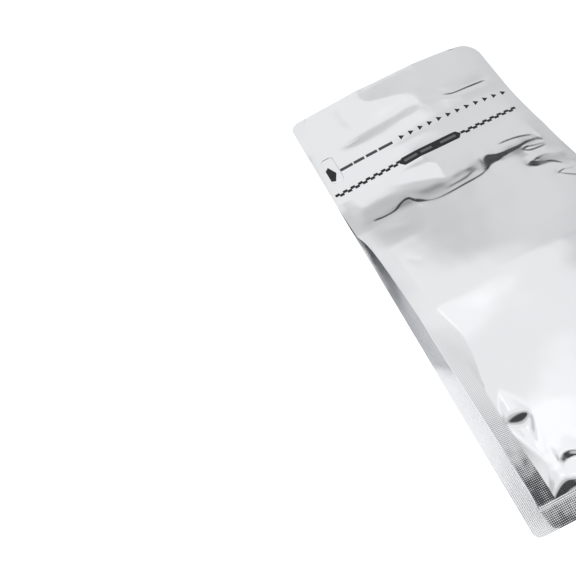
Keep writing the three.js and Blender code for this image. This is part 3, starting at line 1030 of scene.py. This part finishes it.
# %% Camera
CAMERA_PLACE = Vector((-148.3, -147.6, 381.4)) * MM
CAMERA_AIM = Vector((-121.5, 38.3, 0)) * MM
CAMERA_ROLL = -18.38
LENS = 43.75
SENSOR = 36

camera_data = bpy.data.cameras.new("camera")
camera_data.lens = LENS
camera_data.sensor_width = SENSOR
camera_data.clip_start = 0.01
camera = bpy.data.objects.new("camera", camera_data)
bpy.context.scene.collection.objects.link(camera)
look = (CAMERA_AIM - CAMERA_PLACE).to_track_quat("-Z", "Y").to_matrix().to_4x4()
roll = Matrix.Rotation(math.radians(CAMERA_ROLL), 4, "Z")
camera.matrix_world = Matrix.Translation(CAMERA_PLACE) @ look @ roll
bpy.context.scene.camera = camera
print(f"the camera is {(CAMERA_PLACE - CAMERA_AIM).length:.2f} m from its aim")

# %% [markdown]
# ## The floor
# The bag lies on plain white paper. One face with a pale material does it, and a little glow of its own
# keeps the paper even and the shadow under the fins soft.

# %% Floor
FLOOR_SIZE = 4
floor_shape = bmesh.new()
bmesh.ops.create_grid(floor_shape, x_segments=1, y_segments=1, size=FLOOR_SIZE / 2)
floor_mesh = bpy.data.meshes.new("floor")
floor_shape.to_mesh(floor_mesh)
floor_shape.free()
floor = bpy.data.objects.new("floor", floor_mesh)
bpy.context.scene.collection.objects.link(floor)
paper, start = new_tree(bpy.data.materials, "paper")
surface = start.node("ShaderNodeBsdfPrincipled", {}, {
    "Base Color": (0.85, 0.85, 0.85, 1), "Roughness": 0.9,
    "Emission Color": (1, 1, 1, 1), "Emission Strength": 0.6})
start.node("ShaderNodeOutputMaterial", {}, {"Surface": surface})
floor_mesh.materials.append(paper)
print("floor:", FLOOR_SIZE, "m wide")

# %% [markdown]
# ## The sky
# Foil is a mirror, so what stands round it makes its tones, and lamps alone would leave it black. The sky
# here is a simple white room. Its walls are light grey, and a wide panel glows over the camera's side.
# Low ahead, past the zip end, is a dark opening with a dark strip along the floor, and only the steep
# slopes of the creases mirror it. All parts have soft borders, as a room has out of focus.

# %% How low, how far ahead and how far aside a direction is
AHEAD = (0.18, 0.98, 0)
ASIDE = (0.98, -0.18, 0)
WALL_TOP = (0.24, 0.43)  # heights are the z of a direction, from 0 at the horizon to 1 overhead

world, start = new_tree(bpy.data.worlds, "studio")
bpy.context.scene.world = world
direction = start.node("ShaderNodeTexCoord", output="Generated")
upward = direction.dot((0, 0, 1))
over_wall = upward.step(*WALL_TOP)
beside = direction.dot(ASIDE).math("ABSOLUTE")
ahead = direction.dot(AHEAD).step(0, 0.1)
print("the dark opening is turned", round(math.degrees(math.atan2(*AHEAD[:2]))), "degrees to the right")

# %% Walls, opening, panel and lamp
WALL_GLOW = 0.66
DARKEST = 0.6  # this much is taken from the walls in the opening
opening = beside.step(0.38, 0.53, 1, 0) * upward.step(*WALL_TOP, 1, 0)
strip = beside.step(0.62, 0.8, 1, 0) * upward.step(0.08, 0.2, 1, 0)
haze = beside.step(0, 0.3, 0.1, 0) * upward.step(0.45, 0.68, 1, 0)
room = WALL_GLOW - DARKEST * ahead * opening.math("MAXIMUM", strip) - haze * over_wall

from_panel = direction.dot((-0.418, -0.411, 0.810))
panel = from_panel.step(0.18, 0.39, 0, 0.285) + from_panel.step(0.7, 0.8, 0, 0.1)
lamp = direction.dot((0.444, 0.715, 0.540)).step(0.9, 1.0, 0, 0.125)
ceiling = upward.step(0.935, 0.965, 0, 0.1)
glow = room + lamp * over_wall + panel + ceiling
background = start.node("ShaderNodeBackground", {}, {"Color": (0.985, 0.99, 1, 1), "Strength": glow})
start.node("ShaderNodeOutputWorld", {}, {"Surface": background})
bpy.context.scene.view_settings.view_transform = "Standard"
print("nodes of the sky:", len(world.node_tree.nodes))

# %% [markdown]
